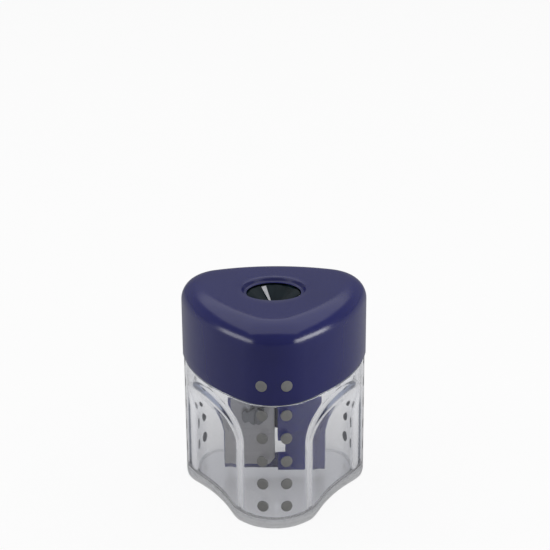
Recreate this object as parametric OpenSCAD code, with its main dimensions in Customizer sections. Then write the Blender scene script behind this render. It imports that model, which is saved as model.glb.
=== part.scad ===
// Hand-held pencil sharpener with a clear shavings container.
// A rounded-triangular cap lifts off and takes the sharpener insert with it.
// Three sprung leaves under the cap close the pencil hole when it is empty.
// Origin: centre of the base. +Z is up and -Y is the front corner.

/* [Outline] */
// Distance from the axis to the centre of each corner arc
corner_distance = 12.8; // [12.4:0.02:13.2]
// Radius of the three corner arcs of the cap
corner_radius = 9.91; // [9.4:0.01:10.2]
// Distance from the axis to the middle of each bowed side
side_distance = 18.2; // [18:0.02:18.6]

/* [Cap] */
// Height of the cap's lower edge above the base
cap_bottom = 29.85; // [29.8:0.01:31]
// Height of the flat top, which is the overall height
cap_top = 47.95; // [47:0.05:50]
// Radius of the rolled upper edge
cap_roll = 4.75; // [3.5:0.05:5.5]
// Thickness of the cap's skirt
cap_wall = 1.2; // [1:0.1:1.4]
// Thickness of the cap's top
cap_top_wall = 2.0; // [1.9:0.1:2.4]
// Thickness left above the guard ring, around the hole
hole_lip = 1.0; // [0.9:0.05:1.1]

/* [Container] */
// How far the container's wall lies inside the cap's wall
container_step = 0.25; // [0.1:0.05:0.5]
// Wall thickness at the container's corners
container_wall = 2.2; // [2:0.1:2.6]
// Wall thickness behind the finger scoops
scoop_wall = 1.6; // [1.2:0.1:2]
// Thickness of the floor
container_floor = 2.0; // [1.5:0.1:2.5]
// Height of the neck that enters the cap
neck_height = 5.4; // [4:0.1:7]

/* [Finger scoops] */
// Distance from the axis to the bottom of a scoop
scoop_distance = 15.2; // [14.8:0.05:16]
// Radius of the scoop across the side
scoop_radius = 45; // [40:1:110]
// Radius of the scoop's rolled top
scoop_roll = 9.9; // [8:0.1:11]
// Height at which the scoop starts to roll outwards
scoop_straight = 18.5; // [16:0.1:19]

/* [Pencil hole] */
// Radius of the shallow dish around the hole
dish_radius = 7.2; // [7:0.1:8]
// Depth of the dish
dish_depth = 0.8; // [0.5:0.1:0.8]
// Radius of the hole in the cap
hole_radius = 6.1; // [6:0.05:6.2]
// Radius of the pencil bore
pencil_radius = 4.1; // [3.9:0.05:4.3]
// Half angle of the pencil point
point_angle = 11.75; // [11:0.25:12.5]

/* [Guard] */
// Slope of the closed leaves below the horizontal
leaf_slope = 31; // [28:1:34]
// Thickness of a leaf
leaf_thickness = 0.5; // [0.4:0.05:0.6]
// Radius of the small opening left between the tips
tip_radius = 1.5; // [1.3:0.1:2]
// Angle of the open slit between two leaves
slit_angle = 14; // [10:1:16]
// Number of flat pleats in each leaf
pleat_count = 6; // [5:1:8]

/* [Insert] */
// Width of the insert's upper block
insert_width = 20.1; // [19:0.1:21]
// Width of the insert's lower block
insert_lower_width = 19.0; // [18:0.1:20]
// Height of the insert's lower end above the base
insert_bottom = 3.4; // [3.2:0.1:4.5]
// Height of the step between the two widths
insert_step = 17.0; // [15:0.5:19]
// How far the block reaches above the blade's upper end
insert_block_margin = 0.46; // [0.3:0.02:1]
// Height of the tip of the pencil cone
cone_tip = 8; // [7.5:0.1:8.5]

/* [Blade] */
// How far the blade's lower end lies below the tip of the pencil cone
blade_below_tip = 3.2; // [2.5:0.1:3.5]
// Length of the blade
blade_length = 25; // [24:0.5:25.5]
// Width of the blade
blade_width = 9.4; // [8.5:0.1:9.6]
// Thickness of the blade
blade_thickness = 0.6; // [0.5:0.05:0.8]
// Radius of the screw head
screw_head_radius = 2.3; // [2:0.1:2.4]
// Radius of the screw shank
screw_radius = 1.1; // [1:0.05:1.25]

/* [Grip dots] */
// Radius of a grip dot
dot_radius = 1.25; // [1:0.05:1.4]
// How far a dot stands out of the wall
dot_height = 0.15; // [0.1:0.05:0.3]
// Depth of a dot's seat in the wall
dot_seat = 0.5; // [0.3:0.05:0.6]
// Spacing of the dots, along the rows and the columns
dot_pitch = 5.45; // [5:0.05:6]
// Number of rows on the container
dot_rows = 5; // [1:1:5]
// Distance from the cap's lower edge down to the highest row on the container
dot_edge_gap = 2.6; // [1.6:0.05:3.5]
// Distance from the cap's lower edge up to the row on the cap
dot_cap_gap = 4.45; // [2:0.1:8]

/* [Fits] */
// Gap around the neck, between the container and the cap
neck_clearance = 0.15; // [0.1:0.01:0.25]
// Gap around pieces that are seated and don't move
seat_clearance = 0.03; // [0.02:0.01:0.06]
// Radial gap around a leaf's hinge bead
hinge_clearance = 0.07; // [0.05:0.01:0.1]
// Gap between a leaf and the parts beside it
leaf_clearance = 0.15; // [0.1:0.01:0.2]

/* [Hidden] */
$fn = 96;
eps = 0.01;

// Angle from the middle of a corner to the middle of the next side.
half_turn = 60;

// The side arcs are centred beyond the axis, so that they meet the corner arcs smoothly.
side_reach = side_distance - corner_radius;
side_centre = (side_reach * side_reach - corner_distance * corner_distance)
            / (corner_distance - 2 * side_reach);
side_radius = side_distance + side_centre;
side_half_angle = atan2(corner_distance * cos(30), corner_distance / 2 + side_centre);
corner_half_angle = half_turn - side_half_angle;

shoulder_top = 29.65;
neck_step = cap_wall + neck_clearance;
neck_top = shoulder_top + neck_height;
mouth_margin = 1;
cut_reach = 4;
corner_steps = 14;
side_steps = 10;
roll_steps = 7;

dot_top_row = cap_bottom - dot_edge_gap;
dot_cap_row = cap_bottom + dot_cap_gap;

cap_ceiling = cap_top - cap_top_wall;
dish_bottom = cap_top - dish_depth;

// Guard ring, in a pocket in the underside of the cap's top.
ring_height = 1.4;
ring_top = cap_top - hole_lip;
ring_bottom = ring_top - ring_height;
ring_setback = 0.35;
ring_width = 1.75;
ring_inner = hole_radius + ring_setback;
ring_outer = ring_inner + ring_width;
bead_radius = 0.35;
bead_length = 4.4;
bead_setback = 0.15;
bead_distance = ring_inner + bead_setback;
bead_z = ring_top - leaf_clearance - bead_radius;
notch_length = 3.2;
notch_depth = 0.9;
notch_outer = ring_inner + notch_depth;
tab_length = 2.8;
tab_reach = 1.1;
tab_thickness = 0.44;

// Leaf, in a frame that lies in the leaf's slope with its origin on the hinge line.
// A seal lies under one edge of its leaf and reaches across the slit to the next one.
leaf_setback = 0.1;
leaf_outer = hole_radius + leaf_setback;
leaf_swing = 0.38;
leaf_rim = ring_inner - leaf_clearance - leaf_swing;
leaf_half_angle = half_turn - slit_angle / 2;
leaf_drop = 0.07;
pleat_angle = 120 / pleat_count;
pleat_lap_angle = 1;
seal_lap_angle = 8;
seal_reach_angle = slit_angle + 1;
seal_thickness = 0.35;

// Collar of the insert, which holds the ring from below.
collar_gap = 0.1;
collar_inner = ring_outer + collar_gap;
collar_wall = 1.5;
collar_outer = collar_inner + collar_wall;
collar_floor = 1.5;
pocket_depth = 7.4;
pocket_floor = ring_top - pocket_depth;
collar_bottom = pocket_floor - collar_floor;
boss_wall = 1.4;
boss_height = 3;

blade_start = -blade_below_tip;
screw_height = blade_start + 0.57 * blade_length;
insert_block_top = cone_tip + (blade_start + blade_length) * cos(point_angle)
                 + insert_block_margin;
insert_back_top = 6.2;
insert_back_bottom = 4.2;
tube_setback = 0.3;
tube_radius = insert_back_top - tube_setback;
ledge_height = 1.3;
tube_sink = 0.5;
point_flat = 0.3;
throat_width = 0.8;
throat_start = 5.5;
throat_depth = 1.0;
window_width = 2.9;
window_bottom = 8.6;
window_back_bottom = 5.4;
window_top = 11.8;
slit_width = 0.75;
slit_top = 13.6;
blade_chamfer = 1.5;
blade_edge_land = 1.3;
blade_edge_thickness = 0.15;
blade_hole_clearance = 0.25;
screw_x = -4.8;
screw_length = 4.5;
screw_end_gap = 0.3;
screw_slot_width = 0.8;
screw_slot_depth = 0.5;
screw_head_height = 1.0;

cap_colour = "#484a6f";
clear_colour = [0.86, 0.88, 0.9, 0.35];
dot_colour = "#636363";
guard_colour = "#1a2830";
seal_colour = "#9a9aa0";
steel_colour = "#7c7c80";

// Points of an arc about a centre "reach" from the axis, in the direction "turn".
function arc_points(turn, reach, radius, half_angle, steps) =
    [for (step = [0 : steps - 1])
        let (angle = turn - half_angle + 2 * half_angle * step / steps)
        reach * [cos(turn), sin(turn)] + radius * [cos(angle), sin(angle)]];

// Rounded triangle of three corner arcs and three flatter side arcs that meet smoothly,
// grown or shrunk by "grow" all round.
function outline_points(grow) =
    [for (turn = [-90, 30, 150])
        each concat(
            arc_points(turn, corner_distance, corner_radius + grow, corner_half_angle,
                       corner_steps),
            arc_points(turn + half_turn, -side_centre, side_radius + grow, side_half_angle,
                       side_steps))];

// Prism on the rounded triangle.
module rounded_triangle(grow, bottom, top) {
    translate([0, 0, bottom])
        linear_extrude(top - bottom) polygon(outline_points(grow));
}

// Rounded-triangular block whose upper edge is rolled over to the given radius.
module rolled_triangle(grow, bottom, top, roll) {
    translate([0, 0, bottom])
        hull()
            for (step = [0 : roll_steps]) {
                angle = 90 * step / roll_steps;
                linear_extrude(top - bottom - roll + roll * sin(angle))
                    polygon(outline_points(grow - roll * (1 - cos(angle))));
            }
}

// Body that cuts the three finger scoops, grown by "wall" for their inner faces.
module scoops(wall) {
    reach = 14;
    spread = 20;
    for (turn = [0, 120, 240]) rotate(turn)
        translate([0, scoop_distance + scoop_radius, 0])
            rotate(-90 - spread)
                rotate_extrude(angle = 2 * spread) {
                    translate([scoop_radius - reach, -mouth_margin])
                        square([reach + wall, scoop_straight + mouth_margin]);
                    translate([scoop_radius - reach, 0])
                        square([reach - scoop_roll, scoop_straight + scoop_roll + wall]);
                    translate([scoop_radius - scoop_roll, scoop_straight])
                        circle(scoop_roll + wall);
                }
}

// One grip dot at height z. side is -1 or 1, seen from outside the front corner.
module grip_dot(radius, inside, outside, surface, side, z) {
    lean = asin(dot_pitch / 2 / corner_radius);
    translate([0, -corner_distance, z])
        rotate(side * lean)
            rotate([90, 0, 0])
                translate([0, 0, surface - inside])
                    cylinder(r = radius, h = inside + outside);
}

module container_dot_column(turn, side, radius, outside) {
    rotate(turn)
        for (row = [0 : dot_rows - 1])
            grip_dot(radius, dot_seat, outside, corner_radius - container_step,
                     side, dot_top_row - row * dot_pitch);
}

module cap_dot(turn, side, radius, outside) {
    rotate(turn)
        grip_dot(radius, dot_seat, outside, corner_radius, side, dot_cap_row);
}

module container() {
    color(clear_colour)
        difference() {
            union() {
                rounded_triangle(-container_step, 0, shoulder_top);
                rounded_triangle(-neck_step, container_floor, neck_top);
            }
            difference() {
                rounded_triangle(-container_step - container_wall, container_floor,
                                 neck_top + mouth_margin);
                scoops(scoop_wall);
            }
            scoops(0);
            for (turn = [0, 120, 240], side = [-1, 1])
                container_dot_column(turn, side, dot_radius + seat_clearance, mouth_margin);
        }
}

module cap_shell() {
    boss_outer = collar_outer + seat_clearance + boss_wall;
    color(cap_colour)
        difference() {
            rolled_triangle(0, cap_bottom, cap_top, cap_roll);
            difference() {
                rolled_triangle(-cap_wall, cap_bottom - mouth_margin, cap_ceiling,
                                cap_roll - cap_wall);
                translate([0, 0, cap_ceiling - boss_height])
                    cylinder(r = boss_outer, h = 2 * boss_height);
            }
            translate([0, 0, cap_ceiling - boss_height - eps])
                cylinder(r = collar_outer + seat_clearance, h = boss_height + eps);
            translate([0, 0, cap_ceiling - eps])
                cylinder(r = ring_outer + seat_clearance, h = ring_top - cap_ceiling + eps);
            translate([0, 0, cap_ceiling])
                cylinder(r = hole_radius, h = cap_top_wall + mouth_margin);
            translate([0, 0, dish_bottom])
                cylinder(r1 = hole_radius, r2 = dish_radius, h = dish_depth + eps);
            for (turn = [0, 120, 240], side = [-1, 1])
                cap_dot(turn, side, dot_radius + seat_clearance, mouth_margin);
        }
}

// Places children in the blade's frame: Z runs up the slope from the cone's tip,
// and -Y points out of the blade's face.
module blade_frame() {
    translate([0, 0, cone_tip]) rotate([point_angle, 0, 0]) children();
}

// Height of a place on the seat, "front" ahead of the blade's seat, gives its Y.
function seat_y(z, front) =
    -(z - cone_tip) * tan(point_angle) - front / cos(point_angle);

// Slab of the insert from x0 to x1, with its face "front" ahead of the blade's seat.
module insert_slab(x0, x1, front) {
    translate([x0, 0, 0])
        rotate([90, 0, 90])
            linear_extrude(x1 - x0)
                polygon([[seat_y(insert_bottom, front), insert_bottom],
                         [insert_back_bottom, insert_bottom],
                         [insert_back_top, insert_block_top],
                         [seat_y(insert_block_top, front), insert_block_top]]);
}

// Block with the blade's seat on the left and the ledge beside the throat on the right,
// narrower below the step.
module insert_block() {
    side_cut = (insert_width - insert_lower_width) / 2;
    difference() {
        union() {
            insert_slab(-insert_width / 2, insert_width / 2, 0);
            insert_slab(throat_width, insert_width / 2, ledge_height);
        }
        for (side = [-1, 1])
            translate([side * insert_width / 2 - side_cut, -insert_width, 0])
                cube([2 * side_cut, 2 * insert_width, insert_step]);
    }
}

// Pencil bore with the cone that the point turns in.
module pencil_space() {
    cone_start = cone_tip + point_flat / tan(point_angle);
    cone_end = cone_tip + pencil_radius / tan(point_angle);
    rotate_extrude()
        polygon([[0, cone_start], [point_flat, cone_start], [pencil_radius, cone_end],
                 [pencil_radius, cap_top], [0, cap_top]]);
}

module sharpener_insert() {
    color(cap_colour)
        difference() {
            union() {
                insert_block();
                translate([0, 0, insert_block_top - tube_sink])
                    cylinder(r = tube_radius, h = collar_bottom - insert_block_top + 2 * tube_sink);
                translate([0, 0, collar_bottom])
                    cylinder(r = collar_outer, h = cap_ceiling - collar_bottom);
            }
            translate([0, 0, pocket_floor])
                cylinder(r = collar_inner, h = cap_ceiling);
            pencil_space();
            rotate([90, 0, 90])
                linear_extrude(window_width)
                    polygon([[seat_y(window_bottom, 2 * ledge_height), window_bottom],
                             [seat_y(window_bottom, ledge_height), window_bottom],
                             [insert_back_bottom + eps, window_back_bottom],
                             [insert_back_bottom + insert_width, window_back_bottom],
                             [insert_back_bottom + insert_width, window_top],
                             [seat_y(window_bottom, 2 * ledge_height), window_top]]);
            translate([0, -insert_width, window_top - eps])
                cube([slit_width, 2 * insert_width, slit_top - window_top + eps]);
            blade_frame() {
                translate([0, -2 * ledge_height, throat_start])
                    cube([throat_width, 2 * ledge_height + throat_depth,
                          blade_start + blade_length - throat_start]);
                translate([screw_x, 0, screw_height])
                    rotate([-90, 0, 0])
                        translate([0, 0, -eps])
                            cylinder(r = screw_radius + seat_clearance,
                                     h = screw_length + screw_end_gap);
            }
        }
}

module blade() {
    color(steel_colour)
        blade_frame()
            translate([0, 0, blade_start])
                difference() {
                    translate([-blade_width, -blade_thickness, 0])
                        cube([blade_width, blade_thickness, blade_length]);
                    // Ground bevel along the cutting edge.
                    linear_extrude(3 * blade_length, center = true)
                        polygon([[-blade_edge_land, -blade_thickness - eps],
                                 [eps, -blade_edge_thickness],
                                 [eps, -blade_thickness - eps]]);
                    // Clipped lower corner beside the edge.
                    rotate([90, 0, 0])
                        linear_extrude(cut_reach, center = true)
                            polygon([[-blade_chamfer, -eps], [eps, blade_chamfer],
                                     [eps, -eps]]);
                    translate([screw_x, 0, screw_height - blade_start])
                        rotate([90, 0, 0])
                            cylinder(r = screw_radius + blade_hole_clearance,
                                     h = cut_reach, center = true);
                }
}

module blade_screw() {
    color(steel_colour)
        blade_frame()
            translate([screw_x, -blade_thickness, screw_height])
                difference() {
                    union() {
                        rotate([90, 0, 0])
                            cylinder(r = screw_head_radius, h = screw_head_height);
                        rotate([-90, 0, 0])
                            cylinder(r = screw_radius, h = screw_length + blade_thickness);
                    }
                    translate([-screw_slot_width / 2, -screw_head_height - eps, -cut_reach])
                        cube([screw_slot_width, screw_slot_depth + eps, 2 * cut_reach]);
                }
}

// Turns children to the middle of each leaf. The first slit lies behind and to the right.
module at_leaf(number) {
    rotate(54 + 120 * (number - 1)) children();
}

module guard_ring() {
    color(guard_colour)
        difference() {
            translate([0, 0, ring_bottom])
                cylinder(r = ring_outer, h = ring_top - ring_bottom);
            translate([0, 0, ring_bottom - eps])
                cylinder(r = ring_inner, h = ring_top - ring_bottom + 2 * eps);
            for (number = [1 : 3]) at_leaf(number) {
                translate([bead_distance, 0, bead_z])
                    rotate([90, 0, 0])
                        cylinder(r = bead_radius + hinge_clearance,
                                 h = bead_length + 2 * leaf_clearance, center = true);
                translate([0, -notch_length / 2, ring_bottom - eps])
                    cube([notch_outer, notch_length, ring_top - ring_bottom + 2 * eps]);
            }
        }
}

// One flat pleat, "below" under the leaf's upper face. It is turned to the angle "middle"
// and spreads from "from" to "to" on either side of that.
module pleat(middle, from, to, below, thickness) {
    length = (leaf_outer - tip_radius) / cos(leaf_slope);
    rotate(middle)
        translate([leaf_outer, 0, bead_z + bead_radius - leaf_drop])
            rotate([0, -leaf_slope, 0])
                translate([0, 0, -below - thickness])
                    linear_extrude(thickness)
                        polygon([[0, leaf_outer * tan(from)], [0, leaf_outer * tan(to)],
                                 [-length, tip_radius * tan(to)],
                                 [-length, tip_radius * tan(from)]]);
}

// Cylinder that keeps the leaves and their seals clear of the ring.
module leaf_space() {
    translate([0, 0, pocket_floor]) cylinder(r = leaf_rim, h = ring_top - pocket_floor);
}

module guard_leaf(number) {
    pleat_half = pleat_angle / 2;
    color(guard_colour)
        at_leaf(number) {
            intersection() {
                leaf_space();
                for (index = [0 : pleat_count - 1]) {
                    middle = pleat_angle * (index + 0.5) - half_turn;
                    from = max(-pleat_half - pleat_lap_angle, -leaf_half_angle - middle);
                    to = min(pleat_half + pleat_lap_angle, leaf_half_angle - middle);
                    pleat(middle, from, to, 0, leaf_thickness);
                }
            }
            translate([bead_distance, 0, bead_z])
                rotate([90, 0, 0])
                    cylinder(r = bead_radius, h = bead_length, center = true);
            translate([bead_distance, 0, bead_z])
                rotate([0, -leaf_slope / 2, 0])
                    translate([-tab_reach, -tab_length / 2, -tab_thickness / 2])
                        cube([tab_reach, tab_length, tab_thickness]);
        }
}

module leaf_seal(number) {
    middle = half_turn - pleat_angle / 2;
    inside = leaf_half_angle - seal_lap_angle - middle;
    edge = leaf_half_angle - middle;
    outside = leaf_half_angle + seal_reach_angle - middle;
    color(seal_colour)
        at_leaf(number)
            intersection() {
                leaf_space();
                union() {
                    pleat(middle, inside, outside, leaf_thickness + leaf_clearance,
                          seal_thickness);
                    pleat(middle, inside, edge, leaf_thickness,
                          leaf_clearance + seal_thickness);
                }
            }
}

module container_dots(turn, side) {
    color(dot_colour) container_dot_column(turn, side, dot_radius, dot_height);
}

module cap_grip_dot(turn, side) {
    color(dot_colour) cap_dot(turn, side, dot_radius, dot_height);
}

container();
cap_shell();
sharpener_insert();
blade();
blade_screw();
guard_ring();
guard_leaf(1);  // guard_leaf_1
guard_leaf(2);  // guard_leaf_2
guard_leaf(3);  // guard_leaf_3
leaf_seal(1);  // leaf_seal_1
leaf_seal(2);  // leaf_seal_2
leaf_seal(3);  // leaf_seal_3
container_dots(0, -1);  // container_dots_front_left
container_dots(0, 1);  // container_dots_front_right
container_dots(120, -1);  // container_dots_right_front
container_dots(120, 1);  // container_dots_right_back
container_dots(240, -1);  // container_dots_left_back
container_dots(240, 1);  // container_dots_left_front
cap_grip_dot(0, -1);  // cap_dot_front_left
cap_grip_dot(0, 1);  // cap_dot_front_right
cap_grip_dot(120, -1);  // cap_dot_right_front
cap_grip_dot(120, 1);  // cap_dot_right_back
cap_grip_dot(240, -1);  // cap_dot_left_back
cap_grip_dot(240, 1);  // cap_dot_left_front
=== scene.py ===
# The looks of a hand-held pencil sharpener with a clear shavings container.
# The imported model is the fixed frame. Everything here is in metres, in the model's own frame:
# +Z up, -Y through the front corner, origin in the middle of the base.
import math

import bmesh
import bpy
from mathutils import Euler, Matrix, Vector


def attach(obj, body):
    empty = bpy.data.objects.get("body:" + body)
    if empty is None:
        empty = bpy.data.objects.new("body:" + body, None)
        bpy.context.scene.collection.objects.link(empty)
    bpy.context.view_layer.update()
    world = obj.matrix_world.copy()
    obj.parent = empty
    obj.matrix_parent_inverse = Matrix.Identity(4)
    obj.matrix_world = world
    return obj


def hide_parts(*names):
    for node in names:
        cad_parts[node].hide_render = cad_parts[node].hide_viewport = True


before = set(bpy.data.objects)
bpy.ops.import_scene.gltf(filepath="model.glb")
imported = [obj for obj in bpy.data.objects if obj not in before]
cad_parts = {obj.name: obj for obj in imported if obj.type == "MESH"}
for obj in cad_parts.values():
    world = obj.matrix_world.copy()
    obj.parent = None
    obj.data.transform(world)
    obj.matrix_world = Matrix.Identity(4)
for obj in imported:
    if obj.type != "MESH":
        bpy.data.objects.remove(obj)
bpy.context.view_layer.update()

MM = 0.001
FULL_TURN = 2 * math.pi

# Rounded-triangular outline, as in the model: three corner arcs joined by flatter side arcs.
CORNER_DISTANCE = 12.8 * MM
CORNER_RADIUS = 9.91 * MM
SIDE_DISTANCE = 18.2 * MM
SIDE_REACH = SIDE_DISTANCE - CORNER_RADIUS
SIDE_CENTRE = (SIDE_REACH ** 2 - CORNER_DISTANCE ** 2) / (CORNER_DISTANCE - 2 * SIDE_REACH)
SIDE_RADIUS = SIDE_DISTANCE + SIDE_CENTRE
SIDE_HALF_ANGLE = math.atan2(CORNER_DISTANCE * math.cos(math.pi / 6),
                             CORNER_DISTANCE / 2 + SIDE_CENTRE)
CORNER_HALF_ANGLE = math.pi / 3 - SIDE_HALF_ANGLE

# Cap. The dish is a little wider and deeper than the model's, for the looks of its rim.
CAP_BOTTOM = 29.85 * MM
CAP_TOP = 47.95 * MM
CAP_WALL = 1.2 * MM
CAP_TOP_WALL = 2.0 * MM
CAP_CEILING = CAP_TOP - CAP_TOP_WALL
CAP_ROLL = 4.75 * MM
CAP_INNER_ROLL = CAP_ROLL - CAP_WALL
CAP_LIP = 0.25 * MM
HOLE_RADIUS = 6.1 * MM
HOLE_LIP = 1.0 * MM
DISH_RADIUS = 7.35 * MM
DISH_WIDTH = 0.8 * MM
DISH_DEPTH = 0.96 * MM

# Seats in the cap's underside, for the guard ring and for the insert's collar in the boss
SEAT_GAP = 0.03 * MM
RING_TOP = CAP_TOP - HOLE_LIP
RING_OUTER = 8.2 * MM
RING_SEAT = RING_OUTER + SEAT_GAP
COLLAR_OUTER = 9.8 * MM
BOSS_INNER = COLLAR_OUTER + SEAT_GAP
BOSS_WALL = 1.4 * MM
BOSS_OUTER = BOSS_INNER + BOSS_WALL
BOSS_HEIGHT = 3.0 * MM
BOSS_BOTTOM = CAP_CEILING - BOSS_HEIGHT

# Container. Its floor is thinner than the model's, for the looks of the base.
CONTAINER_STEP = 0.25 * MM
CONTAINER_WALL = 2.2 * MM
OUTER_GROW = -CONTAINER_STEP
INNER_GROW = -CONTAINER_STEP - CONTAINER_WALL
FOOT_ROUND = 0.5 * MM
SHOULDER = 29.65 * MM
NECK_GAP = 0.15 * MM
NECK_GROW = -CAP_WALL - NECK_GAP
NECK_HEIGHT = 5.4 * MM
NECK_TOP = SHOULDER + NECK_HEIGHT
CONTAINER_LIP = 0.3 * MM
FLOOR_TOP = 1.2 * MM
FLOOR_FILLET = 1.5 * MM

# Finger scoops. The softness of a crease is how far its rounding reaches.
SCOOP_DISTANCE = 15.2 * MM
SCOOP_RADIUS = 45 * MM
SCOOP_ROLL = 9.9 * MM
SCOOP_STRAIGHT = 18.5 * MM
SCOOP_WALL = 1.6 * MM
OUTER_SOFTNESS = 1.4 * MM
INNER_SOFTNESS = 3.0 * MM

# Grip dots. Each column has its corner's turn about Z in degrees, and the side of that
# corner's middle on which it stands.
DOT_RADIUS = 1.25 * MM
DOT_SEAT = 0.5 * MM
DOT_HEIGHT = 0.15 * MM
DOT_EDGE = 0.12 * MM
DOT_CROWN = 0.05 * MM
DOT_PITCH = 5.45 * MM
DOT_ROWS = 5
DOT_EDGE_GAP = 2.6 * MM
DOT_TOP_ROW = CAP_BOTTOM - DOT_EDGE_GAP
DOT_CAP_GAP = 4.45 * MM
DOT_CAP_ROW = CAP_BOTTOM + DOT_CAP_GAP
DOT_COLUMNS = {"front_left": (0, -1), "front_right": (0, 1), "right_front": (120, -1),
               "right_back": (120, 1), "left_back": (240, -1), "left_front": (240, 1)}

# Guard leaves and the seals under them. Angles are in degrees, from the middle of a leaf.
# Each leaf is folded in flat pleats, and its seal lies under the last of them.
LEAF_NUMBERS = (1, 2, 3)
LEAF_PITCH = 120
FIRST_LEAF_TURN = 54
LEAF_OUTER = 6.2 * MM
LEAF_RIM = 5.92 * MM
LEAF_DROP = 0.22 * MM
LEAF_TOP = RING_TOP - LEAF_DROP
LEAF_SLOPE = math.radians(31)
LEAF_THICKNESS = 0.5 * MM
LEAF_TIP = 1.5 * MM
PLEAT_WIDTH = 20
PLEAT_MIDDLE = (LEAF_PITCH - PLEAT_WIDTH) / 2
SLIT_WIDTH = 14
SLIT_START = (LEAF_PITCH - SLIT_WIDTH) / 2
SEAL_UNDER_LEAF = 8
SEAL_PAST_SLIT = 1
SEAL_GAP = 0.15 * MM
SEAL_THICKNESS = 0.35 * MM
RIB_AFTER_LEAF = 0.4
RIB_BEFORE_NEXT = 2.5
RIB_DEPTH = 0.08 * MM

# Fineness of the meshes
LOOP_POINTS = 720
STRAIGHT_STEPS = 16
ROLLED_STEPS = 40
FOOT_STEPS = 5
LIP_STEPS = 4
FILLET_STEPS = 8
SKIRT_STEPS = 6
CAP_ROLL_STEPS = 16
CAP_INNER_ROLL_STEPS = 8
CAP_TOP_STEPS = 4
DISH_STEPS = 12
DOT_POINTS = 40
DOT_EDGE_STEPS = 4
SEAL_STEPS = 8


# ---------------------------------------------------------------- outline and scoops

def outline_radius(angle, grow):
    """Distance from the axis to the rounded triangle, grown by "grow", in one direction."""
    from_corner = (angle + math.pi / 2 + math.pi / 3) % (FULL_TURN / 3) - math.pi / 3
    radius = CORNER_RADIUS + grow
    arcs_meet = math.atan2(radius * math.sin(CORNER_HALF_ANGLE),
                           CORNER_DISTANCE + radius * math.cos(CORNER_HALF_ANGLE))
    if abs(from_corner) <= arcs_meet:
        across = CORNER_DISTANCE * math.sin(from_corner)
        return CORNER_DISTANCE * math.cos(from_corner) + math.sqrt(radius ** 2 - across ** 2)
    from_side = math.pi / 3 - abs(from_corner)
    across = SIDE_CENTRE * math.sin(from_side)
    return math.sqrt((SIDE_RADIUS + grow) ** 2 - across ** 2) - SIDE_CENTRE * math.cos(from_side)


def scoop_limit(angle, z, wall):
    """Distance from the axis to the finger scoop's surface, or None where there is none."""
    from_side = (angle + math.pi / 2) % (FULL_TURN / 3) - math.pi / 3
    above = max(0.0, z - SCOOP_STRAIGHT)
    if above >= SCOOP_ROLL + wall:
        return None
    radius = SCOOP_RADIUS - SCOOP_ROLL + math.sqrt((SCOOP_ROLL + wall) ** 2 - above ** 2)
    centre = SCOOP_DISTANCE + SCOOP_RADIUS
    inside = radius ** 2 - (centre * math.sin(from_side)) ** 2
    return centre * math.cos(from_side) - math.sqrt(inside) if inside > 0 else None


def soft_minimum(a, b, softness):
    """The smaller of a and b, with the crease between them rounded over."""
    overlap = max(softness - abs(a - b), 0.0) / softness
    return min(a, b) - overlap ** 2 * softness / 4


def container_radius(angle, z, grow, wall, softness):
    """Distance from the axis to the container's wall, which follows the outline or a scoop."""
    radius = outline_radius(angle, grow)
    limit = scoop_limit(angle, z, wall)
    return radius if limit is None else soft_minimum(radius, limit, softness)


# ---------------------------------------------------------------- loops and meshes

def radial_loop(radius_at, z):
    """One closed loop of points at height z. radius_at gives the radius for an angle."""
    angles = [FULL_TURN * i / LOOP_POINTS for i in range(LOOP_POINTS)]
    return [(radius_at(a) * math.cos(a), radius_at(a) * math.sin(a), z) for a in angles]


def outline_loop(grow, z):
    """Rounded-triangular loop, grown by "grow", at height z."""
    return radial_loop(lambda angle: outline_radius(angle, grow), z)


def circle_loop(radius, z):
    """Round loop at height z."""
    return radial_loop(lambda angle: radius, z)


def quarter(steps):
    """Pairs of sine and cosine from 0 to 90 degrees."""
    return [(math.sin(math.pi / 2 * i / steps), math.cos(math.pi / 2 * i / steps))
            for i in range(steps + 1)]


def evenly(start, end, steps):
    """Values in equal steps from just after the start up to the end."""
    return [start + (end - start) * i / steps for i in range(1, steps + 1)]


def stitch(mesh, loops):
    """Faces between each loop of mesh points and the next."""
    for low, high in zip(loops, loops[1:]):
        for i in range(len(low)):
            j = (i + 1) % len(low)
            mesh.faces.new((low[i], low[j], high[j], high[i]))


def fan(mesh, loop, centre):
    """Closes a loop with triangles round a middle point."""
    middle = mesh.verts.new(centre)
    for i in range(len(loop)):
        mesh.faces.new((loop[i], loop[(i + 1) % len(loop)], middle))


def lofted(name, point_loops, closed):
    """Object through a list of loops. The last joins the first, or each end gets a fan."""
    mesh = bmesh.new()
    loops = [[mesh.verts.new(point) for point in loop] for loop in point_loops]
    if closed:
        stitch(mesh, loops + loops[:1])
    else:
        stitch(mesh, loops)
        for loop in (loops[0], loops[-1]):
            fan(mesh, loop, (0, 0, loop[0].co.z))
    return to_object(name, mesh)


def to_object(name, mesh):
    """Puts a finished mesh into the scene, smooth apart from its creases."""
    crease_degrees = 35
    bmesh.ops.recalc_face_normals(mesh, faces=mesh.faces)
    data = bpy.data.meshes.new(name)
    mesh.to_mesh(data)
    mesh.free()
    shade_smooth(data)
    data.set_sharp_from_angle(angle=math.radians(crease_degrees))
    obj = bpy.data.objects.new(name, data)
    bpy.context.scene.collection.objects.link(obj)
    return obj


def shade_smooth(data):
    """Smooth shading on every face of a mesh."""
    for polygon in data.polygons:
        polygon.use_smooth = True


# ---------------------------------------------------------------- container

def outer_loop(z, inset=0.0, at=None):
    """Loop with the shape of the outer wall at height z, drawn in, and laid at height "at"."""
    def radius_at(angle):
        return container_radius(angle, z, OUTER_GROW, 0, OUTER_SOFTNESS) - inset
    return radial_loop(radius_at, z if at is None else at)


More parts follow.
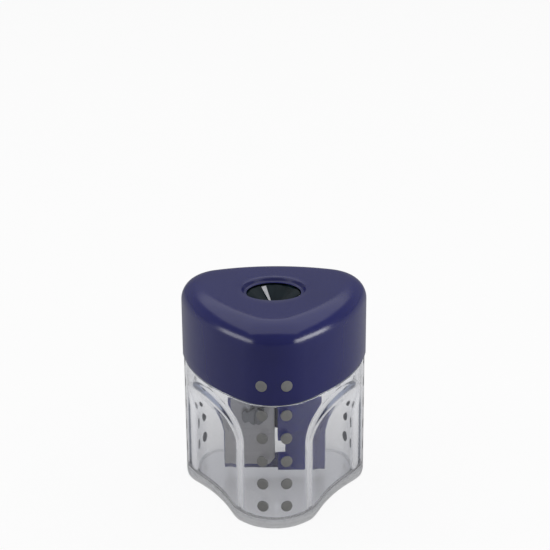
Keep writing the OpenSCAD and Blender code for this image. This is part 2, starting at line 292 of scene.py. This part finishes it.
def inner_loop(z, inset=0.0, at=None):
    """The same for the inner wall, which stays one wall away from the scoops."""
    def radius_at(angle):
        return container_radius(angle, z, INNER_GROW, SCOOP_WALL, INNER_SOFTNESS) - inset
    return radial_loop(radius_at, z if at is None else at)


def container_outside():
    """Loops from the middle of the base, round the foot and up the scooped wall."""
    base_insets = (12 * MM, 8 * MM, 4 * MM, 1.6 * MM)
    lip_start = SHOULDER - CONTAINER_LIP
    loops = [outer_loop(0, inset) for inset in base_insets]
    loops += [outer_loop(FOOT_ROUND, FOOT_ROUND * (1 - sine), FOOT_ROUND * (1 - cosine))
              for sine, cosine in quarter(FOOT_STEPS)]
    loops += [outer_loop(z) for z in evenly(FOOT_ROUND, SCOOP_STRAIGHT, STRAIGHT_STEPS)]
    loops += [outer_loop(z) for z in evenly(SCOOP_STRAIGHT, lip_start, ROLLED_STEPS)]
    loops += [outline_loop(OUTER_GROW - CONTAINER_LIP * (1 - cosine),
                           lip_start + CONTAINER_LIP * sine)
              for sine, cosine in quarter(LIP_STEPS)[1:]]
    return loops


def container_neck():
    """Loops along the shoulder, up the neck and over its rounded rim."""
    loops = [outline_loop(NECK_GROW, SHOULDER), outline_loop(NECK_GROW, NECK_TOP - CONTAINER_LIP)]
    loops += [outline_loop(NECK_GROW - CONTAINER_LIP * (1 - cosine),
                           NECK_TOP - CONTAINER_LIP * (1 - sine))
              for sine, cosine in quarter(LIP_STEPS)[1:]]
    loops += [outline_loop(INNER_GROW + CONTAINER_LIP * (1 - sine),
                           NECK_TOP - CONTAINER_LIP * (1 - cosine))
              for sine, cosine in quarter(LIP_STEPS)]
    return loops


def container_inside():
    """Loops down the inner wall, round the fillet and in along the floor."""
    fillet_top = FLOOR_TOP + FLOOR_FILLET
    floor_insets = (1.1 * MM, 3.3 * MM, 6.6 * MM, 9.9 * MM)
    loops = [inner_loop(SHOULDER)]
    loops += [inner_loop(z) for z in evenly(SHOULDER, SCOOP_STRAIGHT, ROLLED_STEPS)]
    loops += [inner_loop(z) for z in evenly(SCOOP_STRAIGHT, fillet_top, STRAIGHT_STEPS)]
    loops += [inner_loop(fillet_top, FLOOR_FILLET * (1 - cosine), fillet_top - FLOOR_FILLET * sine)
              for sine, cosine in quarter(FILLET_STEPS)[1:]]
    loops += [inner_loop(fillet_top, FLOOR_FILLET + inset, FLOOR_TOP) for inset in floor_insets]
    return loops


def make_container():
    """Clear cup with three finger scoops and a neck that enters the cap."""
    loops = container_outside() + container_neck() + container_inside()
    piece = lofted("container_clear", loops, closed=False)
    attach(piece, "container")
    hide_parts("container")
    return piece


# ---------------------------------------------------------------- cap

def cap_outside():
    """Loops from the lower rim up the skirt and over the rolled edge."""
    loops = [outline_loop(-CAP_LIP * (1 - sine), CAP_BOTTOM + CAP_LIP * (1 - cosine))
             for sine, cosine in quarter(LIP_STEPS)]
    loops += [outline_loop(0, z) for z in evenly(CAP_BOTTOM, CAP_TOP - CAP_ROLL, SKIRT_STEPS)]
    loops += [outline_loop(-CAP_ROLL * (1 - cosine), CAP_TOP - CAP_ROLL * (1 - sine))
              for sine, cosine in quarter(CAP_ROLL_STEPS)[1:]]
    return loops


def cap_top_loop(share):
    """Loop on the flat top, from the rolled edge (share 0) to the dish (share 1)."""
    def radius_at(angle):
        return outline_radius(angle, -CAP_ROLL) * (1 - share) + DISH_RADIUS * share
    return radial_loop(radius_at, CAP_TOP)


def dish_loop(share):
    """Loop on the dish's steep wall, eased at its top (share 0) and at its foot (share 1)."""
    eased = share * share * (3 - 2 * share)
    return circle_loop(DISH_RADIUS - DISH_WIDTH * share, CAP_TOP - DISH_DEPTH * eased)


def cap_underside():
    """Loops from the hole past the guard ring's seat and the boss, then down the skirt."""
    corners = ((HOLE_RADIUS, RING_TOP), (RING_SEAT, RING_TOP), (RING_SEAT, CAP_CEILING),
               (BOSS_INNER, CAP_CEILING), (BOSS_INNER, BOSS_BOTTOM),
               (BOSS_OUTER, BOSS_BOTTOM), (BOSS_OUTER, CAP_CEILING))
    loops = [circle_loop(radius, z) for radius, z in corners]
    loops += [outline_loop(-CAP_WALL - CAP_INNER_ROLL * (1 - cosine),
                           CAP_CEILING - CAP_INNER_ROLL * (1 - sine))
              for sine, cosine in reversed(quarter(CAP_INNER_ROLL_STEPS))]
    loops += [outline_loop(-CAP_WALL, CAP_BOTTOM)]
    return loops


def make_cap():
    """Rolled shell with a dished hole on top and a locating boss inside."""
    loops = cap_outside()
    loops += [cap_top_loop(share) for share in evenly(0, 1, CAP_TOP_STEPS)]
    loops += [dish_loop(share) for share in evenly(0, 1, DISH_STEPS)]
    loops += cap_underside()
    piece = lofted("cap_body", loops, closed=True)
    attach(piece, "cap")
    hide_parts("cap_shell")
    return piece


# ---------------------------------------------------------------- grip dots

def dot_profile():
    """Radius and height of each loop: seat, side, rounded edge and barely crowned face."""
    edge_top = DOT_HEIGHT - DOT_CROWN
    halfway = 0.5
    profile = [(DOT_RADIUS, -DOT_SEAT), (DOT_RADIUS, edge_top - DOT_EDGE)]
    profile += [(DOT_RADIUS - DOT_EDGE * (1 - cosine), edge_top - DOT_EDGE * (1 - sine))
                for sine, cosine in quarter(DOT_EDGE_STEPS)[1:]]
    profile += [(DOT_RADIUS * halfway, DOT_HEIGHT - DOT_CROWN * halfway ** 2)]
    return profile


def add_dot(mesh, place):
    """One rubber disc, put where the matrix "place" says."""
    angles = [FULL_TURN * i / DOT_POINTS for i in range(DOT_POINTS)]
    loops = [[mesh.verts.new(place @ Vector((radius * math.cos(a), radius * math.sin(a), z)))
              for a in angles] for radius, z in dot_profile()]
    stitch(mesh, loops)
    fan(mesh, loops[0], place @ Vector((0, 0, -DOT_SEAT)))
    fan(mesh, loops[-1], place @ Vector((0, 0, DOT_HEIGHT)))


def dot_place(turn, side, surface, z):
    """Matrix that stands a disc square on a corner's wall, beside the corner's middle."""
    lean = side * math.asin(DOT_PITCH / 2 / CORNER_RADIUS)
    return (Matrix.Rotation(math.radians(turn), 4, "Z")
            @ Matrix.Translation((0, -CORNER_DISTANCE, z))
            @ Matrix.Rotation(lean, 4, "Z")
            @ Matrix.Rotation(math.pi / 2, 4, "X")
            @ Matrix.Translation((0, 0, surface)))


def make_dots():
    """For each column, one piece with the container's dots and one with the cap's dot."""
    wall = CORNER_RADIUS - CONTAINER_STEP
    rows = [DOT_TOP_ROW - row * DOT_PITCH for row in range(DOT_ROWS)]
    pieces = []
    for column, (turn, side) in DOT_COLUMNS.items():
        for body, node, surface, heights in (
                ("container", "container_dots_" + column, wall, rows),
                ("cap", "cap_dot_" + column, CORNER_RADIUS, [DOT_CAP_ROW])):
            mesh = bmesh.new()
            for z in heights:
                add_dot(mesh, dot_place(turn, side, surface, z))
            piece = to_object("grip_" + node, mesh)
            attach(piece, body)
            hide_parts(node)
            pieces.append(piece)
    return pieces


# ---------------------------------------------------------------- leaf seals

def seal_point(degrees, depth, share):
    """Point of a seal so deep under its leaf's sloping face, from rim (share 0) to tip (1)."""
    lean = math.tan(math.radians(degrees - PLEAT_MIDDLE))
    push = depth * math.sin(LEAF_SLOPE)
    square = 1 + lean ** 2
    rim = (-push + math.sqrt(push ** 2 - square * (push ** 2 - LEAF_RIM ** 2))) / square
    along = rim + (LEAF_TIP - rim) * share
    drop = (LEAF_OUTER - along) * math.tan(LEAF_SLOPE) + depth * math.cos(LEAF_SLOPE)
    flat_pleat = Vector((along + push, along * lean, LEAF_TOP - drop))
    return Matrix.Rotation(math.radians(PLEAT_MIDDLE), 3, "Z") @ flat_pleat


def seal_profile():
    """Degrees and depth of each corner of the strip, with the rib that fills the slit."""
    start = SLIT_START - SEAL_UNDER_LEAF
    end = SLIT_START + SLIT_WIDTH + SEAL_PAST_SLIT
    rib_start = SLIT_START + RIB_AFTER_LEAF
    rib_end = SLIT_START + SLIT_WIDTH - RIB_BEFORE_NEXT
    top = LEAF_THICKNESS + SEAL_GAP
    bottom = top + SEAL_THICKNESS
    return [(start, bottom), (end, bottom), (end, top), (rib_end, top), (rib_end, RIB_DEPTH),
            (rib_start, RIB_DEPTH), (rib_start, LEAF_THICKNESS), (start, LEAF_THICKNESS)]


def make_seal(number):
    """Light strip under one edge of a leaf, with a rib in the slit beside that edge."""
    turn = Matrix.Rotation(math.radians(FIRST_LEAF_TURN + LEAF_PITCH * (number - 1)), 3, "Z")
    mesh = bmesh.new()
    loops = [[mesh.verts.new(turn @ seal_point(degrees, depth, i / SEAL_STEPS))
              for degrees, depth in seal_profile()] for i in range(SEAL_STEPS + 1)]
    stitch(mesh, loops)
    mesh.faces.new(loops[0])
    mesh.faces.new(loops[-1])
    piece = to_object("slit_seal_%d" % number, mesh)
    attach(piece, "leaf_%d" % number)
    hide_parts("leaf_seal_%d" % number)
    return piece


# ---------------------------------------------------------------- carried-over CAD nodes

def soften(node, width, segments=3, crease_degrees=30):
    """Rounds the sharp edges of a CAD node for its looks. The faces are joined at their seams
    first, and slivers that the rounding leaves are closed after it."""
    seam_reach = 0.001 * MM
    sliver_reach = 0.002 * MM
    favour_large_faces = 100
    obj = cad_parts[node]
    weld = obj.modifiers.new("weld", "WELD")
    weld.merge_threshold = seam_reach
    bevel = obj.modifiers.new("edges", "BEVEL")
    bevel.width = width
    bevel.segments = segments
    bevel.limit_method = "ANGLE"
    bevel.angle_limit = math.radians(crease_degrees)
    merge = obj.modifiers.new("merge", "WELD")
    merge.merge_threshold = sliver_reach
    shade = obj.modifiers.new("shade", "WEIGHTED_NORMAL")
    shade.weight = favour_large_faces
    shade_smooth(obj.data)
    return obj


# ---------------------------------------------------------------- node helpers

def new_material(name):
    """New material with its node tree and its main shader."""
    material = bpy.data.materials.new(name)
    material.use_nodes = True
    tree = material.node_tree
    shader = tree.nodes["Principled BSDF"]
    return material, tree, shader


def as_colour(value):
    """A grey level or a colour of three parts, as a colour of four parts."""
    return (value, value, value, 1) if isinstance(value, (int, float)) else (*value, 1)


def feed(tree, value, socket):
    """Puts a plain value into a socket, or joins another node's output to it."""
    if isinstance(value, bpy.types.NodeSocket):
        tree.links.new(value, socket)
    else:
        socket.default_value = value


def calculate(tree, operation, *values):
    """Result of one Math node on plain values and other nodes' outputs."""
    node = tree.nodes.new("ShaderNodeMath")
    node.operation = operation
    for value, socket in zip(values, node.inputs):
        feed(tree, value, socket)
    return node.outputs["Value"]


def noise(tree, scale, detail=4.0, roughness=0.5, stretch=(1, 1, 1)):
    """Noise over the object's own coordinates. Scale is in features per metre."""
    place = tree.nodes.new("ShaderNodeTexCoord")
    mapping = tree.nodes.new("ShaderNodeMapping")
    mapping.inputs["Scale"].default_value = stretch
    texture = tree.nodes.new("ShaderNodeTexNoise")
    texture.inputs["Scale"].default_value = scale
    texture.inputs["Detail"].default_value = detail
    texture.inputs["Roughness"].default_value = roughness
    tree.links.new(place.outputs["Object"], mapping.inputs["Vector"])
    tree.links.new(mapping.outputs["Vector"], texture.inputs["Vector"])
    return texture.outputs["Fac"]


def ramp(tree, value, low, high):
    """Blends between two colours, or two grey levels, as a noise value rises."""
    low_at, high_at = 0.3, 0.7
    node = tree.nodes.new("ShaderNodeValToRGB")
    first, last = node.color_ramp.elements
    first.position, last.position = low_at, high_at
    first.color, last.color = as_colour(low), as_colour(high)
    tree.links.new(value, node.inputs["Fac"])
    return node.outputs["Color"]


def colour_mix(tree, share, first, second):
    """Goes from the first colour to the second as the share goes from 0 to 1."""
    node = tree.nodes.new("ShaderNodeMix")
    node.data_type = "RGBA"
    feed(tree, share, node.inputs["Factor"])
    feed(tree, first, node.inputs["A"])
    feed(tree, second, node.inputs["B"])
    return node.outputs["Result"]


def surface_mix(tree, share, first, second):
    """Makes the surface out of two shaders: the first at share 0, the second at share 1."""
    node = tree.nodes.new("ShaderNodeMixShader")
    first_input, second_input = node.inputs[1], node.inputs[2]
    tree.links.new(share, node.inputs["Fac"])
    tree.links.new(first, first_input)
    tree.links.new(second, second_input)
    tree.links.new(node.outputs["Shader"], tree.nodes["Material Output"].inputs["Surface"])


def span(tree, value, start, end, low, high):
    """Goes smoothly from low to high as a value goes from start to end."""
    node = tree.nodes.new("ShaderNodeMapRange")
    node.interpolation_type = "SMOOTHSTEP"
    limits = {"From Min": start, "From Max": end, "To Min": low, "To Max": high}
    for name, limit in limits.items():
        node.inputs[name].default_value = limit
    tree.links.new(value, node.inputs["Value"])
    return node.outputs["Result"]


def bump(tree, shader, height, distance, strength):
    """Fine relief in how a surface takes the light, from a height value."""
    node = tree.nodes.new("ShaderNodeBump")
    node.inputs["Strength"].default_value = strength
    node.inputs["Distance"].default_value = distance
    tree.links.new(height, node.inputs["Height"])
    tree.links.new(node.outputs["Normal"], shader.inputs["Normal"])


# ---------------------------------------------------------------- materials

def blue_plastic():
    """Satin slate-blue moulded plastic with a faint flow mottle and a fine mould texture."""
    material, tree, shader = new_material("slate_blue_plastic")
    mottle = noise(tree, scale=90, detail=3)
    sheen_break = noise(tree, scale=900, detail=5, roughness=0.6)
    mould_grain = noise(tree, scale=1600, detail=2)
    tree.links.new(ramp(tree, mottle, low=(0.0075, 0.0095, 0.108), high=(0.0095, 0.012, 0.122)),
                   shader.inputs["Base Color"])
    tree.links.new(ramp(tree, sheen_break, low=0.17, high=0.23), shader.inputs["Roughness"])
    bump(tree, shader, mould_grain, distance=0.012 * MM, strength=0.2)
    shader.inputs["Specular IOR Level"].default_value = 0.6
    return material


def clear_plastic():
    """Clear polystyrene with a faint haze, which tints light cool grey in its depth, and with
    painted grey shade on views that pass several of its surfaces.
    """
    material, tree, shader = new_material("clear_plastic")
    haze = noise(tree, scale=420, detail=4)
    tint = noise(tree, scale=60, detail=2)
    waviness = noise(tree, scale=260, detail=2)
    shader.inputs["Transmission Weight"].default_value = 1.0
    shader.inputs["IOR"].default_value = 1.49
    tree.links.new(ramp(tree, tint, low=(0.94, 0.94, 0.943), high=(0.96, 0.96, 0.963)),
                   shader.inputs["Base Color"])
    tree.links.new(ramp(tree, haze, low=0.015, high=0.05), shader.inputs["Roughness"])
    bump(tree, shader, waviness, distance=0.04 * MM, strength=0.25)
    depth = tree.nodes.new("ShaderNodeVolumeAbsorption")
    depth.inputs["Color"].default_value = (0.62, 0.64, 0.72, 1)
    depth.inputs["Density"].default_value = 65
    tree.links.new(depth.outputs["Volume"], tree.nodes["Material Output"].inputs["Volume"])
    let_light_through(tree, shader)
    return material


def let_light_through(tree, shader):
    """Lets lamp light straight through, nearly clear. A view ray that has already met several
    surfaces also goes straight on, and takes a cool grey wash at each further one: painted
    shade, since lamp light goes through the same surfaces nearly clear."""
    surfaces_bent = 3.5
    # Painted shade: the grey that a late view ray takes at each further surface.
    painted_grey_shade = (0.66, 0.69, 0.76, 1)
    nearly_clear = (0.97, 0.97, 0.975, 1)
    path = tree.nodes.new("ShaderNodeLightPath")
    lighting = calculate(tree, "MAXIMUM", path.outputs["Is Shadow Ray"],
                         path.outputs["Is Diffuse Ray"])
    straight = tree.nodes.new("ShaderNodeBsdfTransparent")
    tree.links.new(colour_mix(tree, lighting, painted_grey_shade, nearly_clear), straight.inputs["Color"])
    late = calculate(tree, "GREATER_THAN", path.outputs["Ray Depth"], surfaces_bent)
    passing = calculate(tree, "MAXIMUM", path.outputs["Is Shadow Ray"], late)
    surface_mix(tree, passing, shader.outputs["BSDF"], straight.outputs["BSDF"])


def ground_steel(name, tone, stretch, roughness):
    """Steel with grinding lines drawn out along the direction that is stretched least."""
    material, tree, shader = new_material(name)
    groove_shade, smoother, rougher = 0.82, 0.08, 0.1
    lines = noise(tree, scale=900, detail=6, roughness=0.7, stretch=stretch)
    groove_tone = tuple(groove_shade * part for part in tone)
    shader.inputs["Metallic"].default_value = 1.0
    tree.links.new(ramp(tree, lines, low=groove_tone, high=tone), shader.inputs["Base Color"])
    tree.links.new(ramp(tree, lines, low=roughness - smoother, high=roughness + rougher),
                   shader.inputs["Roughness"])
    bump(tree, shader, lines, distance=0.01 * MM, strength=0.5)
    return material


def blade_steel():
    """Plain steel, ground along the object's own X."""
    return ground_steel("blade_steel", tone=(0.45, 0.438, 0.436), stretch=(0.12, 1, 2.2),
                        roughness=0.34)


def screw_steel():
    """Darker steel with an even grain."""
    return ground_steel("screw_steel", tone=(0.22, 0.22, 0.225), stretch=(1, 1, 1),
                        roughness=0.38)


def dark_guard_plastic():
    """Near-black teal soft plastic with a satin skin."""
    material, tree, shader = new_material("dark_guard_plastic")
    mottle = noise(tree, scale=500, detail=4)
    skin = noise(tree, scale=4200, detail=2)
    tree.links.new(ramp(tree, mottle, low=(0.002, 0.008, 0.012), high=(0.005, 0.015, 0.021)),
                   shader.inputs["Base Color"])
    tree.links.new(ramp(tree, mottle, low=0.26, high=0.36), shader.inputs["Roughness"])
    bump(tree, shader, skin, distance=0.01 * MM, strength=0.3)
    shader.inputs["Specular IOR Level"].default_value = 0.12
    return material


def light_seal_plastic():
    """Pale grey plastic with a faint mottle."""
    material, tree, shader = new_material("light_seal_plastic")
    mottle = noise(tree, scale=800, detail=3)
    skin = noise(tree, scale=4000, detail=2)
    tree.links.new(ramp(tree, mottle, low=(0.50, 0.51, 0.54), high=(0.62, 0.63, 0.66)),
                   shader.inputs["Base Color"])
    tree.links.new(ramp(tree, mottle, low=0.4, high=0.55), shader.inputs["Roughness"])
    bump(tree, shader, skin, distance=0.01 * MM, strength=0.3)
    return material


def grip_rubber():
    """Mid-grey soft rubber with a dull, slightly uneven skin."""
    material, tree, shader = new_material("grip_rubber")
    mottle = noise(tree, scale=1500, detail=5, roughness=0.65)
    skin = noise(tree, scale=6000, detail=3)
    tree.links.new(ramp(tree, mottle, low=(0.215, 0.215, 0.215), high=(0.26, 0.26, 0.255)),
                   shader.inputs["Base Color"])
    tree.links.new(ramp(tree, mottle, low=0.62, high=0.8), shader.inputs["Roughness"])
    bump(tree, shader, skin, distance=0.02 * MM, strength=0.6)
    shader.inputs["Specular IOR Level"].default_value = 0.3
    return material


def dress(objects, material):
    """Gives each object this one material."""
    for obj in objects:
        obj.data.materials.clear()
        obj.data.materials.append(material)


# ---------------------------------------------------------------- stage, light and camera

def background_rays(tree, straight=1.0, through=1.0):
    """Level "straight" for rays from the camera, "through" for rays that come out of the
    clear plastic, and 0 for all others."""
    path = tree.nodes.new("ShaderNodeLightPath")
    from_camera = calculate(tree, "MULTIPLY", path.outputs["Is Camera Ray"], straight)
    return calculate(tree, "MULTIPLY_ADD", path.outputs["Is Transmission Ray"], through,
                     from_camera)


def floor_material():
    """Pale paper. Seen straight on it is near white, and through the clear plastic it glows
    paler away from the object than under it: a painted shadow under the object, where the
    object keeps light off the paper."""
    seen_low, seen_high, bounced = 0.89, 0.91, 0.45
    # The low glow under the object is a painted shadow, seen through the clear plastic.
    glow_straight, painted_shadow_glow, glow_away = 0.9, 0.22, 0.95
    under_reach, away_reach = 0.03, 0.09
    material, tree, shader = new_material("studio_floor")
    paper = ramp(tree, noise(tree, scale=30, detail=2), low=seen_low, high=seen_high)
    tone = colour_mix(tree, background_rays(tree), as_colour(bounced), paper)
    tree.links.new(tone, shader.inputs["Base Color"])
    shader.inputs["Roughness"].default_value = 0.9
    shader.inputs["Specular IOR Level"].default_value = 0.0
    place = tree.nodes.new("ShaderNodeTexCoord")
    away = tree.nodes.new("ShaderNodeVectorMath")
    away.operation = "LENGTH"
    tree.links.new(place.outputs["Object"], away.inputs[0])
    # Painted shadow: the glow rises from under the object to away from it.
    through = span(tree, away.outputs["Value"], under_reach, away_reach, painted_shadow_glow, glow_away)
    glow = tree.nodes.new("ShaderNodeEmission")
    glow.inputs["Strength"].default_value = 1.0
    surface_mix(tree, background_rays(tree, glow_straight, through), shader.outputs["BSDF"],
                glow.outputs["Emission"])
    return material


def make_floor():
    """Wide plane under the part."""
    half_size = 3.0
    bpy.ops.mesh.primitive_plane_add(size=2 * half_size)
    floor = bpy.context.object
    floor.name = "studio_floor"
    floor.data.materials.append(floor_material())


def make_world():
    """White for the camera. Through the clear plastic it is white behind the object and
    darker beside and before it, like a studio with one pale backdrop."""
    fill, before, behind = 0.28, 0.5, 1.0
    before_reach, behind_reach = -0.1, 0.6
    world = bpy.data.worlds.new("studio")
    bpy.context.scene.world = world
    world.use_nodes = True
    tree = world.node_tree
    background = tree.nodes["Background"]
    background.inputs["Color"].default_value = (1, 1, 1, 1)
    facing = tree.nodes.new("ShaderNodeTexCoord")
    parts = tree.nodes.new("ShaderNodeSeparateXYZ")
    tree.links.new(facing.outputs["Generated"], parts.inputs["Vector"])
    through = span(tree, parts.outputs["Y"], before_reach, behind_reach,
                   before - fill, behind - fill)
    level = calculate(tree, "ADD", background_rays(tree, 1 - fill, through), fill)
    tree.links.new(level, background.inputs["Strength"])


def area_light(name, position, size, power, target):
    """Rectangular lamp of so many watts that faces its target."""
    data = bpy.data.lights.new(name, "AREA")
    data.shape = "RECTANGLE"
    data.size, data.size_y = size
    data.energy = power
    light = bpy.data.objects.new(name, data)
    light.location = position
    light.rotation_euler = (Vector(target) - Vector(position)).to_track_quat("-Z", "Y").to_euler()
    bpy.context.scene.collection.objects.link(light)


def make_lights():
    """A low strip on each side, and two wide panels overhead that face straight down."""
    side_distance, side_y, side_z = 0.33, -0.10, 0.038
    strip_size = (0.27, 0.080)
    for name, side, power in (("left_softbox", -1, 0.23), ("right_softbox", 1, 0.42)):
        area_light(name, (side * side_distance, side_y, side_z), strip_size, power,
                   target=(0, 0, side_z))
    panel_z = 0.50
    for name, y, size, power in (("top_softbox", -0.035, (1.60, 0.69), 2.75),
                                 ("back_softbox", 0.54, (1.50, 0.46), 1.40)):
        area_light(name, (0, y, panel_z), size, power, target=(0, y, 0))


def make_camera():
    """Camera before the front corner, looking down on it. Its angles are in degrees."""
    place = (0.0013, -0.31814, 0.16989)
    pitch, yaw, roll = 20.476, -0.177, -0.406
    focal_pixels, frame_pixels, sensor = 1535.3, 550, 36.0
    data = bpy.data.cameras.new("camera")
    data.sensor_width = sensor
    data.lens = focal_pixels / frame_pixels * sensor
    data.clip_start = 0.01
    camera = bpy.data.objects.new("camera", data)
    camera.location = place
    aim = Euler((math.radians(90 - pitch), 0, -math.radians(yaw)), "XYZ").to_matrix()
    spin = Matrix.Rotation(math.radians(roll), 3, "Z")
    camera.rotation_euler = (aim @ spin).to_euler()
    bpy.context.scene.collection.objects.link(camera)
    bpy.context.scene.camera = camera


# ---------------------------------------------------------------- build

make_camera()
container = make_container()
cap = make_cap()
dots = make_dots()
seals = [make_seal(number) for number in LEAF_NUMBERS]
insert = soften("sharpener_insert", 0.25 * MM)
blade = soften("blade", 0.05 * MM, segments=2)
screw = soften("blade_screw", 0.15 * MM)
guard_ring = soften("guard_ring", 0.08 * MM, segments=2)
leaves = [soften("guard_leaf_%d" % number, 0.05 * MM, segments=2, crease_degrees=12)
          for number in LEAF_NUMBERS]

dress([cap, insert], blue_plastic())
dress([container], clear_plastic())
dress([blade], blade_steel())
dress([screw], screw_steel())
dress(dots, grip_rubber())
dress([guard_ring] + leaves, dark_guard_plastic())
dress(seals, light_seal_plastic())

make_floor()
make_world()
make_lights()
bpy.context.scene.view_settings.view_transform = "Standard"
